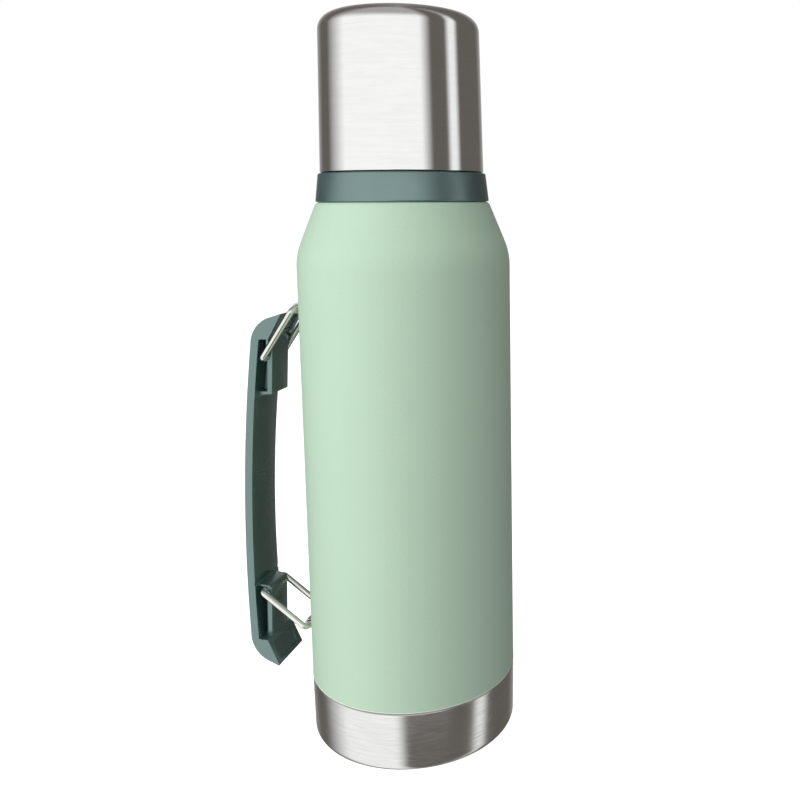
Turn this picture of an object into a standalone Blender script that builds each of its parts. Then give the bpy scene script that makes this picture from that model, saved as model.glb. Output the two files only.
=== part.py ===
"""Vacuum flask: double-walled steel bottle, screw-on cup, screw stopper and folding bail handle.

Run in Blender 4.5.  The flask stands on z = 0 with its axis on Z, and its handle is on the -X side.
Lengths are written in millimetres and turned into metres by MM where meshes are made.
"""

import math

import bmesh
import bpy
from mathutils import Matrix, Vector

MM = 0.001
GAP = 0.3                       # clearance kept between neighbouring solids
MERGE = 0.00001                 # merge distance, metres

# Facets of the turned pieces
FINE = 48
COARSE = 32

# Bottle: outer shell and base
BODY_R = 50.0
SHELL_WALL = 0.8
BASE_H = 28.8                   # top edge of the bare steel base cup
BASE_FOOT_R = 49.6
BASE_CORNER_R = 3.5
BASE_WALL = 0.8
FOOT_GROOVE = (40.0, 32.0)      # outer and inner radius of the groove in the foot
FOOT_GROOVE_D = 0.9
BOTTOM_Z = 5.0                  # welded bottom pan and the shell's foot edge
SKIRT_R = BASE_FOOT_R - BASE_WALL - GAP     # shell's foot, necked in to enter the base cup
SHOULDER_Z = 229.0              # end of the straight body wall
SHOULDER_R = 30.0               # radius of the bend from wall to cone
CONE_DEG = 23.0                 # slope of the shoulder cone, from the vertical
COLLAR_Z = 258.7                # ledge that the collar sits on
LEDGE_R = 40.8
LEDGE_CHAMFER = 1.2
NECK_R = 29.5
NECK_TOP_Z = 286.5
NECK_WALL = 0.7

# Inner bottle
LINER_R = 41.5
LINER_WALL = 0.7
LINER_BOTTOM_Z = 16.0
LINER_SHOULDER_Z = 219.0
LINER_NECK_R = 28.3
LINER_NECK_Z = 249.0
LIP_T = 0.8
FOIL_T = 0.3

# Collar on the neck, with the thread that takes the cup
COLLAR_BOTTOM_R = 40.4
COLLAR_TOP_R = 38.9
COLLAR_TOP_Z = 272.4
SLEEVE_R = 33.4
SLEEVE_TOP_Z = 284.6
THREAD_PITCH = 4.0
THREAD_H = 1.0
CUP_THREAD_START_Z = 277.0
THREAD_TURNS = 1.25
THREAD_ROOT = 1.05              # half the ridge's width at its root
THREAD_CREST = 0.35
THREAD_SINK = 0.6               # how far the ridge is rooted in its wall
CREST_CLEARANCE = 0.4           # between the ridge's crest and the cup's ring

# Cup
CUP_BOTTOM_R = 37.95
CUP_TOP_R = 36.65
CUP_TOP_Z = 343.0
CUP_CORNER_R = 7.0
CUP_WALL = 0.7
CUP_LINER_R = 34.6
CUP_LINER_TAPER = 1.3
CUP_LINER_CORNER_R = 6.0
CUP_LINER_TOP_Z = 337.6
CUP_FLANGE_Z = 286.7
CUP_GASKET_IN_R = 31.2

# Stopper
STOPPER_R = 26.4
STOPPER_BOTTOM_Z = 240.0
STOPPER_TOP_Z = 287.9
STOPPER_THREAD_START_Z = 262.0
STOPPER_THREAD_H = 0.75
STOPPER_THREAD_TURNS = 1.5
STOPPER_WALL = 2.0
STOPPER_RIM = (24.8, 23.4)      # outer and inner radius of the spigot in the knob
SEAL_GROOVE_R = 25.0
SEAL_GROOVE_Z = (243.6, 247.0)
SEAL_RING_R = 0.9
KNOB_R = 30.6
KNOB_BOTTOM_Z = 289.9
KNOB_TOP_Z = 313.0
KNOB_FLUTES = 18
KNOB_CAVITY_R = 22.4
KNOB_WALL = 2.6
FLUTE_R = 1.7

# Folding handle: bails of round wire hinged in two brackets, and a moulded grip between them
WIRE_R = 1.5
HINGE_R = 52.95                 # distance of both hinge axes from the flask's axis
UPPER_HINGE_Z = 208.12
LOWER_HINGE_Z = 46.95
LEG_T = 11.6                    # half the spacing of a bail's two legs
PIN_END_T = 6.6                 # the wire's inturned ends reach this far from the middle plane
CROSS_BEND = 3.0
PIN_BEND = 2.6
BRACKET_T = 1.0
BRACKET_HALF_H = 7.2
BRACKET_HALF_W = 6.5
BARREL_R = WIRE_R + 1.15
BARREL_BORE_R = WIRE_R + 0.27

# Grip, in its own axes: u outward from the flask, w up along the grip, t across it
GRIP_R = 72.32                  # where u = w = 0 lies, from the flask's axis
GRIP_Z = 116.51
GRIP_TILT = math.radians(2.78)  # lower end stands further out
GRIP_HALF_T = 13.28
CROWN_U = 9.4                   # outer face at mid length
CROWN_R = 1083.0                # long curve of the outer face
STRAP_T = 3.6                   # thickness between the two end blocks
CURL_W = 75.3                   # where the outer face starts to curl in
CURL_R = 13.0
CURL_DEG = 70.0
TIP_U = -10.2
TIP_W = 90.5
BLOCK_U = -2.94                 # inner face of the end blocks
BLOCK_HALF_T = 7.77
BLOCK_END_W = 80.2
STRAP_REACH = 41.0              # half length of the strap's inner arc
UPPER_SHOULDER = ((BLOCK_U, 49.6), (4.9, 44.2))
LOWER_SHOULDER = ((4.5, -47.7), (BLOCK_U, -51.0))
PIN_U = 0.7
UPPER_PIN_W = 67.09
LOWER_PIN_W = -52.56
SLOT_U = (-1.15, 3.9)
UPPER_SLOT_W = (49.8, 76.4)
LOWER_SLOT_W = (-80.3, -50.85)
SLOT_FLOOR_T = 5.5

COLOURS = {
    "powder_green": ((0.40, 0.58, 0.39), 0.55, 0.0),
    "dark_green": ((0.045, 0.105, 0.085), 0.45, 0.0),
    "brushed_steel": ((0.56, 0.55, 0.53), 0.30, 1.0),
    "plain_steel": ((0.50, 0.50, 0.50), 0.35, 1.0),
    "bright_wire": ((0.66, 0.65, 0.62), 0.18, 1.0),
    "copper": ((0.72, 0.38, 0.24), 0.30, 1.0),
    "seal_glass": ((0.55, 0.56, 0.52), 0.20, 0.0),
    "silicone": ((0.72, 0.73, 0.70), 0.60, 0.0),
    "black_plastic": ((0.03, 0.035, 0.035), 0.50, 0.0),
    "foam": ((0.80, 0.78, 0.70), 0.90, 0.0),
}


def clear_scene():
    for obj in list(bpy.data.objects):
        bpy.data.objects.remove(obj, do_unlink=True)
    for collection in list(bpy.data.collections):
        bpy.data.collections.remove(collection)


def new_collection(name):
    collection = bpy.data.collections.new(name)
    bpy.context.scene.collection.children.link(collection)
    return collection


def material(name):
    mat = bpy.data.materials.get(name)
    if mat is None:
        colour, roughness, metallic = COLOURS[name]
        mat = bpy.data.materials.new(name)
        mat.use_nodes = True
        shader = mat.node_tree.nodes["Principled BSDF"]
        shader.inputs["Base Color"].default_value = (*colour, 1.0)
        shader.inputs["Roughness"].default_value = roughness
        shader.inputs["Metallic"].default_value = metallic
    return mat


def node_material(name, look):
    """Each sub-part has a material of its own, copied from the look it shares."""
    mat = material(look).copy()
    mat.name = name + "_" + look
    return mat


def add_object(name, mesh, look, collection):
    obj = bpy.data.objects.new(name, mesh)
    collection.objects.link(obj)
    if look:
        mesh.materials.clear()
        mesh.materials.append(node_material(name, look))
        mesh.shade_smooth()
        mesh.set_sharp_from_angle(angle=math.radians(35.0))
    else:
        obj.hide_render = True
        obj.display_type = "WIRE"
    return obj


def arc(centre, radius, start_deg, end_deg, steps):
    """Points on an arc in an outline's plane, both ends included."""
    points = []
    for i in range(steps + 1):
        a = math.radians(start_deg + (end_deg - start_deg) * i / steps)
        points.append((centre[0] + radius * math.cos(a), centre[1] + radius * math.sin(a)))
    return points


def profile_mesh(name, points, closed):
    bm = bmesh.new()
    verts = [bm.verts.new((r * MM, 0.0, z * MM)) for r, z in points]
    for a, b in zip(verts, verts[1:]):
        bm.edges.new((a, b))
    if closed:
        bm.edges.new((verts[-1], verts[0]))
    mesh = bpy.data.meshes.new(name)
    bm.to_mesh(mesh)
    bm.free()
    return mesh


def turned(name, points, look, collection, segments=COARSE, closed=True):
    """Turn a profile (radius, height) about Z; it runs down the outer side first."""
    obj = add_object(name, profile_mesh(name, points, closed), look, collection)
    screw = obj.modifiers.new("turn", "SCREW")
    screw.axis = "Z"
    screw.angle = 2.0 * math.pi
    screw.steps = segments
    screw.render_steps = segments
    screw.use_merge_vertices = True
    screw.merge_threshold = MERGE
    screw.use_smooth_shade = True
    return obj


def evaluated_mesh(obj, name):
    depsgraph = bpy.context.evaluated_depsgraph_get()
    mesh = bpy.data.meshes.new_from_object(obj.evaluated_get(depsgraph))
    mesh.name = name
    bm = bmesh.new()
    bm.from_mesh(mesh)
    bmesh.ops.remove_doubles(bm, verts=bm.verts, dist=MERGE)
    bmesh.ops.recalc_face_normals(bm, faces=bm.faces)
    bm.to_mesh(mesh)
    bm.free()
    return mesh


def prism(name, outlines, half_width, look, collection, origin=(0.0, 0.0)):
    """Extrude flat outlines (the later ones are holes) to both sides of their plane."""
    curve = bpy.data.curves.new(name + "_outline", "CURVE")
    curve.dimensions = "2D"
    curve.fill_mode = "BOTH"
    curve.extrude = half_width * MM
    for points in outlines:
        spline = curve.splines.new("POLY")
        spline.points.add(len(points) - 1)
        for point, (a, b) in zip(spline.points, points):
            point.co = ((a - origin[0]) * MM, (b - origin[1]) * MM, 0.0, 1.0)
        spline.use_cyclic_u = True
    holder = bpy.data.objects.new(name + "_outline", curve)
    collection.objects.link(holder)
    mesh = evaluated_mesh(holder, name)
    bpy.data.objects.remove(holder, do_unlink=True)
    bpy.data.curves.remove(curve)
    return add_object(name, mesh, look, collection)


def boolean(obj, cutter, operation="DIFFERENCE"):
    mod = obj.modifiers.new(cutter.name, "BOOLEAN")
    mod.operation = operation
    mod.object = cutter
    mod.solver = "EXACT"


def handle_plane(distance, height, tilt=0.0):
    """Matrix that stands an outline (outward, up) in the handle's middle plane."""
    c, s = math.cos(tilt), math.sin(tilt)
    columns = Matrix(((-c, s, 0.0), (0.0, 0.0, 1.0), (s, c, 0.0)))
    return Matrix.Translation(Vector((-distance * MM, 0.0, height * MM))) @ columns.to_4x4()


def grip_point(u, w):
    """Distance from the flask's axis and height of a point of the grip."""
    c, s = math.cos(GRIP_TILT), math.sin(GRIP_TILT)
    return (GRIP_R + u * c - w * s, GRIP_Z + w * c + u * s)


# ---------------------------------------------------------------- bottle

def shoulder_points(inset):
    """Ledge's edge, cone and bend of the shell, set in from its outer face; from the top."""
    edge = (LEDGE_R - inset, COLLAR_Z - LEDGE_CHAMFER - inset * 0.75)
    bend = arc((BODY_R - SHOULDER_R, SHOULDER_Z), SHOULDER_R - inset, CONE_DEG, 0.0, 5)
    return [edge] + bend


def make_outer_shell(parts):
    skirt_z = BASE_H + GAP
    neck_in_r = NECK_R - NECK_WALL
    outer = [(NECK_R, NECK_TOP_Z), (NECK_R, COLLAR_Z), (LEDGE_R - 1.0, COLLAR_Z)]
    outer += shoulder_points(0.0)
    outer += [(BODY_R, skirt_z), (SKIRT_R, skirt_z), (SKIRT_R, BOTTOM_Z)]
    inside = [(SKIRT_R - SHELL_WALL, BOTTOM_Z), (SKIRT_R - SHELL_WALL, skirt_z + 0.8)]
    inside += [(BODY_R - SHELL_WALL, skirt_z + 2.0)]
    inside += list(reversed(shoulder_points(SHELL_WALL)))
    inside += [(LEDGE_R - 1.8, COLLAR_Z - SHELL_WALL), (neck_in_r, COLLAR_Z - SHELL_WALL)]
    inside += [(neck_in_r, NECK_TOP_Z)]
    return turned("outer_shell", outer + inside, "powder_green", parts, FINE)


def make_base_cup(parts):
    """Open steel cup under the shell, with a ring groove pressed into its foot."""
    out_r, in_r = FOOT_GROOVE
    corner = (BASE_FOOT_R - BASE_CORNER_R, BASE_CORNER_R)
    groove_in_z = FOOT_GROOVE_D + BASE_WALL
    inside = [(0.0, BASE_WALL), (in_r - 0.6, BASE_WALL), (in_r + 0.4, groove_in_z)]
    inside += [(out_r - 0.4, groove_in_z), (out_r + 0.6, BASE_WALL)]
    inside += arc(corner, BASE_CORNER_R - BASE_WALL, -90.0, 0.0, 3) + [(BODY_R - BASE_WALL, BASE_H)]
    outside = [(BODY_R, BASE_H)] + arc(corner, BASE_CORNER_R, 0.0, -90.0, 4)
    outside += [(out_r, 0.0), (out_r - 1.0, FOOT_GROOVE_D), (in_r + 1.0, FOOT_GROOVE_D)]
    outside += [(in_r, 0.0), (0.0, 0.0)]
    return turned("base_cup", inside + outside, "brushed_steel", parts, FINE, closed=False)


def make_outer_bottom(parts):
    """Pan welded into the shell's foot, with the dimple through which it was evacuated."""
    rim_r = SKIRT_R - SHELL_WALL - GAP
    z, top_z, in_z = BOTTOM_Z, BOTTOM_Z + 7.0, BOTTOM_Z + SHELL_WALL
    hole_r, dimple_z = 1.2, BOTTOM_Z + 2.0
    outer = [(rim_r, top_z), (rim_r, z + 1.6), (rim_r - 1.6, z), (8.0, z), (6.0, dimple_z)]
    outer += [(hole_r, dimple_z)]
    inner = [(hole_r, dimple_z + SHELL_WALL), (6.6, dimple_z + SHELL_WALL), (8.6, in_z)]
    inner += [(rim_r - 2.0, in_z), (rim_r - SHELL_WALL, z + 2.0), (rim_r - SHELL_WALL, top_z)]
    return turned("outer_bottom", outer + inner, "plain_steel", parts)


def make_vacuum_seal(parts):
    """Bead of solder glass that stops the evacuation hole from below."""
    centre = (0.0, BOTTOM_Z + 1.7)
    dome = arc(centre, 3.6, 0.0, -90.0, 4)
    return turned("vacuum_seal", [centre] + dome, "seal_glass", parts, COARSE, closed=False)


def liner_outer(offset, top_z, bottom_z):
    """Outer outline of the inner bottle's wall, grown by offset; listed from the top."""
    neck_r = LINER_NECK_R + offset
    body_r = LINER_R + offset
    points = [(neck_r, top_z), (neck_r, LINER_NECK_Z)]
    bend = arc((body_r - 12.0 - offset, LINER_SHOULDER_Z), 12.0 + offset, 62.0, 0.0, 4)
    return points + bend + [(body_r, bottom_z)]


def make_inner_liner(parts):
    """Inner bottle whose lip closes over the shell's neck."""
    outer = liner_outer(0.0, NECK_TOP_Z + GAP, LINER_BOTTOM_Z)
    inner = liner_outer(-LINER_WALL, NECK_TOP_Z + GAP + LIP_T, LINER_BOTTOM_Z)
    lip = [(NECK_R, NECK_TOP_Z + GAP + LIP_T), (NECK_R, NECK_TOP_Z + GAP)]
    return turned("inner_liner", lip + outer + list(reversed(inner)), "plain_steel", parts)


def make_liner_bottom(parts):
    rim_r = LINER_R - LINER_WALL - GAP
    outer = [(rim_r, 20.0), (rim_r, 16.6), (rim_r - 1.6, 15.0), (30.0, 15.0), (0.0, 17.5)]
    inner = [(0.0, 18.2), (30.2, 15.8), (rim_r - 2.0, 15.8), (rim_r - 0.7, 17.1),
             (rim_r - 0.7, 20.0)]
    return turned("liner_bottom", inner + outer, "plain_steel", parts, COARSE, closed=False)


def make_radiation_foil(parts):
    inner_r = LINER_R + 0.5
    outer_r = inner_r + FOIL_T
    points = [(outer_r, 216.0), (outer_r, 22.0), (inner_r, 22.0), (inner_r, 216.0)]
    return turned("radiation_foil", points, "copper", parts)


def make_getter(parts):
    """Gas-absorbing tablet that hangs under the inner bottle."""
    bm = bmesh.new()
    place = Matrix.Translation((0.020, 0.0, 0.0125))
    bmesh.ops.create_cone(bm, cap_ends=True, segments=16, radius1=0.004, radius2=0.004,
                          depth=0.0036, matrix=place)
    mesh = bpy.data.meshes.new("getter")
    bm.to_mesh(mesh)
    bm.free()
    return add_object("getter", mesh, "plain_steel", parts)


# ---------------------------------------------------------------- threads

def thread_ridge(name, root_r, height, start_z, turns, collection, steps_per_turn=24):
    """Helical ridge of trapezoid section that fades at both ends, as a cutter to unite."""
    count = int(steps_per_turn * turns)
    bm = bmesh.new()
    rings = []
    for i in range(count + 1):
        share = i / count
        fade = min(1.0, share / 0.12, (1.0 - share) / 0.12)
        crest_r = root_r + max(0.12, height * fade)
        angle = 2.0 * math.pi * turns * share
        z = start_z + THREAD_PITCH * turns * share
        section = ((root_r - THREAD_SINK, -THREAD_ROOT), (crest_r, -THREAD_CREST),
                   (crest_r, THREAD_CREST), (root_r - THREAD_SINK, THREAD_ROOT))
        ring = [bm.verts.new((r * math.cos(angle) * MM, r * math.sin(angle) * MM, (z + dz) * MM))
                for r, dz in section]
        rings.append(ring)
    for a, b in zip(rings, rings[1:]):
        for k in range(4):
            bm.faces.new((a[k], b[k], b[(k + 1) % 4], a[(k + 1) % 4]))
    bm.faces.new(rings[0])
    bm.faces.new(list(reversed(rings[-1])))
    bmesh.ops.recalc_face_normals(bm, faces=bm.faces)
    mesh = bpy.data.meshes.new(name)
    bm.to_mesh(mesh)
    bm.free()
    return add_object(name, mesh, None, collection)


# ---------------------------------------------------------------- collar

def make_neck_collar(parts, cutters):
    bore = NECK_R + GAP + 0.1
    z0 = COLLAR_Z + GAP
    top = COLLAR_TOP_Z - 0.4
    outer = [(SLEEVE_R, SLEEVE_TOP_Z), (SLEEVE_R, top), (COLLAR_TOP_R - 0.6, top)]
    outer += [(COLLAR_TOP_R, top - 0.6)]
    outer += [(COLLAR_BOTTOM_R, z0 + 0.7), (COLLAR_BOTTOM_R - 0.5, z0)]
    inner = [(bore, z0), (bore, SLEEVE_TOP_Z)]
    collar = turned("neck_collar", outer + inner, "dark_green", parts, FINE)
    ridge = thread_ridge("collar_thread", SLEEVE_R, THREAD_H, CUP_THREAD_START_Z, THREAD_TURNS,
                         cutters)
    boolean(collar, ridge, "UNION")
    return collar


# ---------------------------------------------------------------- cup

def make_cup_shell(parts):
    """Outer wall of the cup, drawn in one piece with its crown."""
    top_z = CUP_TOP_Z
    corner = (CUP_TOP_R - CUP_CORNER_R, top_z - CUP_CORNER_R)
    outer = [(0.0, top_z)] + arc(corner, CUP_CORNER_R, 90.0, 0.0, 4) + [(CUP_BOTTOM_R, COLLAR_TOP_Z)]
    inner = [(CUP_BOTTOM_R - CUP_WALL, COLLAR_TOP_Z)]
    inner += arc(corner, CUP_CORNER_R - CUP_WALL, 0.0, 90.0, 3) + [(0.0, top_z - CUP_WALL)]
    return turned("cup_shell", outer + inner, "brushed_steel", parts, FINE, closed=False)


def make_cup_liner(parts):
    """Inner wall of the cup, flanged outward at its rim above the thread ring."""
    top_z = CUP_LINER_TOP_Z
    corner_r = CUP_LINER_CORNER_R
    corner = (CUP_LINER_R - CUP_LINER_TAPER - corner_r, top_z - corner_r)
    flange_r = CUP_BOTTOM_R - CUP_WALL - 0.75
    flange_top_z = CUP_FLANGE_Z + CUP_WALL
    outer = [(0.0, top_z)] + arc(corner, corner_r, 90.0, 0.0, 3)
    outer += [(CUP_LINER_R, flange_top_z), (flange_r, flange_top_z)]
    inner = [(flange_r, CUP_FLANGE_Z), (CUP_LINER_R - CUP_WALL, CUP_FLANGE_Z)]
    inner += arc(corner, corner_r - CUP_WALL, 0.0, 90.0, 3) + [(0.0, top_z - CUP_WALL)]
    return turned("cup_liner", outer + inner, "plain_steel", parts, COARSE, closed=False)


def make_cup_thread_ring(parts):
    """Plastic ring inside the cup's rim that runs over the collar's thread."""
    bore = SLEEVE_R + THREAD_H + CREST_CLEARANCE
    wall_in_r = CUP_BOTTOM_R - CUP_WALL
    z0, z1 = COLLAR_TOP_Z + GAP, CUP_FLANGE_Z - GAP
    points = [(wall_in_r - 0.7, z1), (wall_in_r - 0.45, z0), (bore, z0), (bore, z1)]
    return turned("cup_thread_ring", points, "black_plastic", parts)


def make_cup_gasket(parts):
    outer_r = SLEEVE_R + THREAD_H + CREST_CLEARANCE - GAP
    inner_r = CUP_GASKET_IN_R
    z0, z1 = SLEEVE_TOP_Z + GAP, CUP_FLANGE_Z - GAP
    points = [(outer_r, z1), (outer_r, z0), (inner_r, z0), (inner_r, z1)]
    return turned("cup_gasket", points, "silicone", parts)


# ---------------------------------------------------------------- stopper

def make_stopper_body(parts, cutters):
    """Threaded plug with a groove for its seal ring and a spigot that enters the knob."""
    inner_r = STOPPER_R - STOPPER_WALL
    low_r = SEAL_GROOVE_R - 1.2
    z0, top = STOPPER_BOTTOM_Z, STOPPER_TOP_Z
    groove_z0, groove_z1 = SEAL_GROOVE_Z
    rim_r, rim_in_r = STOPPER_RIM
    outer = [(rim_r, top), (rim_r, 284.0), (STOPPER_R, 282.0), (STOPPER_R, groove_z1)]
    outer += [(SEAL_GROOVE_R, groove_z1), (SEAL_GROOVE_R, groove_z0), (STOPPER_R, groove_z0)]
    outer += [(STOPPER_R, z0 + 1.5), (STOPPER_R - 1.5, z0), (0.0, z0)]
    inner = [(0.0, z0 + STOPPER_WALL), (low_r, z0 + STOPPER_WALL), (low_r, z0 + 8.0)]
    inner += [(inner_r, z0 + 9.0), (inner_r, 283.0), (rim_in_r, 284.0), (rim_in_r, top)]
    body = turned("stopper_body", inner + outer, "dark_green", parts, COARSE, closed=False)
    ridge = thread_ridge("stopper_thread", STOPPER_R, STOPPER_THREAD_H, STOPPER_THREAD_START_Z,
                         STOPPER_THREAD_TURNS, cutters)
    boolean(body, ridge, "UNION")
    return body


def make_stopper_knob(parts, cutters):
    """Hollow fluted knob, open underneath, that closes the stopper's body."""
    z0, z1 = KNOB_BOTTOM_Z, KNOB_TOP_Z
    outer = [(0.0, z1), (KNOB_R - 4.0, z1), (KNOB_R - 1.2, z1 - 1.2), (KNOB_R, z1 - 4.0),
             (KNOB_R, z0 + 1.0), (KNOB_R - 1.0, z0)]
    inner = [(KNOB_CAVITY_R, z0), (KNOB_CAVITY_R, z1 - KNOB_WALL), (0.0, z1 - KNOB_WALL)]
    knob = turned("stopper_knob", outer + inner, "dark_green", parts, FINE, closed=False)
    bm = bmesh.new()
    for i in range(KNOB_FLUTES):
        angle = 2.0 * math.pi * i / KNOB_FLUTES
        reach = KNOB_R + 0.75
        place = Matrix.Translation((reach * math.cos(angle) * MM, reach * math.sin(angle) * MM,
                                    (z0 + z1) * 0.5 * MM))
        bmesh.ops.create_cone(bm, cap_ends=True, segments=10, radius1=FLUTE_R * MM,
                              radius2=FLUTE_R * MM, depth=(z1 - z0 + 4.0) * MM, matrix=place)
    mesh = bpy.data.meshes.new("knob_flutes")
    bm.to_mesh(mesh)
    bm.free()
    boolean(knob, add_object("knob_flutes", mesh, None, cutters))
    return knob


def make_stopper_foam(parts):
    """Insulating foam that fills the plug up to its spigot."""
    clear = GAP + 0.2
    wall_r = STOPPER_R - STOPPER_WALL - GAP
    neck_r = STOPPER_RIM[1] - clear
    low_r = SEAL_GROOVE_R - 1.2 - clear
    z0, top = STOPPER_BOTTOM_Z + STOPPER_WALL + GAP, STOPPER_TOP_Z + 0.1
    points = [(0.0, top), (neck_r, top), (neck_r, 283.0), (wall_r, 282.0)]
    points += [(wall_r, STOPPER_BOTTOM_Z + 10.0), (low_r, STOPPER_BOTTOM_Z + 8.6)]
    points += [(low_r, z0), (0.0, z0)]
    return turned("stopper_foam", points, "foam", parts, COARSE, closed=False)


def make_stopper_gasket(parts):
    inner_r = STOPPER_RIM[0] + GAP
    z0 = NECK_TOP_Z + GAP + LIP_T + GAP
    z1 = KNOB_BOTTOM_Z - GAP
    points = [(KNOB_R - 1.2, z1), (KNOB_R - 1.2, z0), (inner_r, z0), (inner_r, z1)]
    return turned("stopper_gasket", points, "silicone", parts)


def make_stopper_seal_ring(parts):
    centre = (STOPPER_R - 0.15, sum(SEAL_GROOVE_Z) * 0.5)
    circle = arc(centre, SEAL_RING_R, 90.0, -210.0, 5)
    return turned("stopper_seal_ring", circle, "silicone", parts)


# ---------------------------------------------------------------- handle

def rounded_path(points, radii, steps):
    """Polyline through 3-D points with each inner corner rounded to its radius."""
    path = [Vector(points[0])]
    for before, corner, after, radius in zip(points, points[1:], points[2:], radii):
        c = Vector(corner)
        a = (Vector(before) - c).normalized()
        b = (Vector(after) - c).normalized()
        half = a.angle(b) * 0.5
        reach = radius / math.tan(half)
        start = c + a * reach
        centre = c + (a + b).normalized() * (radius / math.sin(half))
        sweep = math.pi - 2.0 * half
        axis = (start - centre).cross(b * reach + c - centre).normalized()
        for i in range(steps + 1):
            turn = Matrix.Rotation(sweep * i / steps, 3, axis)
            path.append(centre + turn @ (start - centre))
    path.append(Vector(points[-1]))
    return path


def make_bail(name, hinge_z, pin_w, parts):
    """Wire bail: inturned pin, leg, cross-bar in the bracket, leg, inturned pin."""
    pin_r, pin_z = grip_point(PIN_U, pin_w)
    out = -(pin_r - HINGE_R)
    up = pin_z - hinge_z
    corners = [(out, -PIN_END_T, up), (out, -LEG_T, up), (0.0, -LEG_T, 0.0),
               (0.0, LEG_T, 0.0), (out, LEG_T, up), (out, PIN_END_T, up)]
    path = rounded_path(corners, (PIN_BEND, CROSS_BEND, CROSS_BEND, PIN_BEND), 4)
    curve = bpy.data.curves.new(name, "CURVE")
    curve.dimensions = "3D"
    curve.bevel_depth = WIRE_R * MM
    curve.bevel_resolution = 3
    curve.use_fill_caps = True
    spline = curve.splines.new("POLY")
    spline.points.add(len(path) - 1)
    for point, p in zip(spline.points, path):
        point.co = (p.x * MM, p.y * MM, p.z * MM, 1.0)
    curve.materials.append(node_material(name, "bright_wire"))
    obj = bpy.data.objects.new(name, curve)
    obj.location = (-HINGE_R * MM, 0.0, hinge_z * MM)
    parts.objects.link(obj)
    return obj


def make_bracket(name, hinge_z, parts):
    """Pressed saddle on the body, with a barrel in which the bail's cross-bar turns."""
    plate_in = BODY_R + GAP + 0.1 - HINGE_R
    plate_out = plate_in + BRACKET_T
    foot = BARREL_R + 0.8
    outline = [(plate_in, -BRACKET_HALF_H), (plate_out, -BRACKET_HALF_H), (plate_out, -foot)]
    outline += arc((0.0, 0.0), BARREL_R, -100.0, 100.0, 10)
    outline += [(plate_out, foot), (plate_out, BRACKET_HALF_H), (plate_in, BRACKET_HALF_H)]
    bore = arc((0.0, 0.0), BARREL_BORE_R, 0.0, 337.5, 15)
    obj = prism(name, [outline, bore], BRACKET_HALF_W, "plain_steel", parts)
    obj.matrix_world = handle_plane(HINGE_R, hinge_z)
    return obj


def grip_outline():
    """Side outline of the grip: crowned outer face, curled ends, end blocks and thin strap."""
    centre_u = CROWN_U - CROWN_R
    reach = math.degrees(math.asin(CURL_W / CROWN_R))
    crown = arc((centre_u, 0.0), CROWN_R, -reach, reach, 8)
    inner_reach = math.degrees(math.asin(STRAP_REACH / CROWN_R))
    strap = arc((centre_u, 0.0), CROWN_R - STRAP_T, inner_reach, -inner_reach, 4)
    start_u, start_w = crown[-1]
    curl = arc((start_u - CURL_R, start_w), CURL_R, 0.0, CURL_DEG, 4)[1:]
    upper = crown + curl + [(TIP_U, TIP_W), (BLOCK_U, BLOCK_END_W), *UPPER_SHOULDER]
    lower_curl = [(u, -w) for u, w in reversed(curl)]
    lower = [*LOWER_SHOULDER, (BLOCK_U, -BLOCK_END_W), (TIP_U, -TIP_W)]
    return upper + strap + lower + lower_curl


def make_grip(parts, cutters):
    pin = (PIN_U, LOWER_PIN_W)
    pin_r, pin_z = grip_point(*pin)
    place = handle_plane(pin_r, pin_z, GRIP_TILT)
    grip = prism("handle_grip", [grip_outline()], GRIP_HALF_T, "dark_green", parts, pin)
    grip.matrix_world = place
    slope = (GRIP_HALF_T - BLOCK_HALF_T) / (CROWN_U - BLOCK_U)
    for side in (1.0, -1.0):
        wedge = [(-6.0, side * (BLOCK_HALF_T - slope * 3.06)),
                 (CROWN_U + 1.0, side * (GRIP_HALF_T + slope)),
                 (CROWN_U + 1.0, side * 20.0), (-6.0, side * 20.0)]
        cutter = side_cutter("grip_side", wedge, BLOCK_END_W, cutters, pin, place)
        boolean(grip, cutter)
        for label, (low, high) in (("upper", UPPER_SLOT_W), ("lower", LOWER_SLOT_W)):
            slot = slot_cutter(label + "_slot", low, high, side, cutters, pin, place)
            boolean(grip, slot)
    return grip


def side_cutter(name, outline, half_length, cutters, origin, place):
    """Prism along w from an outline in (u, t)."""
    obj = prism(name, [outline], half_length, None, cutters)
    turn = Matrix(((1.0, 0.0, 0.0, -origin[0] * MM), (0.0, 0.0, 1.0, -origin[1] * MM),
                   (0.0, 1.0, 0.0, 0.0), (0.0, 0.0, 0.0, 1.0)))
    obj.data.transform(turn)
    obj.data.flip_normals()
    obj.matrix_world = place
    return obj


def slot_cutter(name, low, high, side, cutters, origin, place):
    depth = 20.0 - SLOT_FLOOR_T
    size = (SLOT_U[1] - SLOT_U[0], high - low, depth)
    centre = ((SLOT_U[0] + SLOT_U[1]) / 2 - origin[0], (low + high) / 2 - origin[1],
              side * (SLOT_FLOOR_T + depth / 2))
    bm = bmesh.new()
    scale = Matrix.Diagonal((size[0] * MM, size[1] * MM, size[2] * MM, 1.0))
    move = Matrix.Translation(Vector(centre) * MM)
    bmesh.ops.create_cube(bm, size=1.0, matrix=move @ scale)
    mesh = bpy.data.meshes.new(name)
    bm.to_mesh(mesh)
    bm.free()
    obj = add_object(name, mesh, None, cutters)
    obj.matrix_world = place
    return obj


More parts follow.
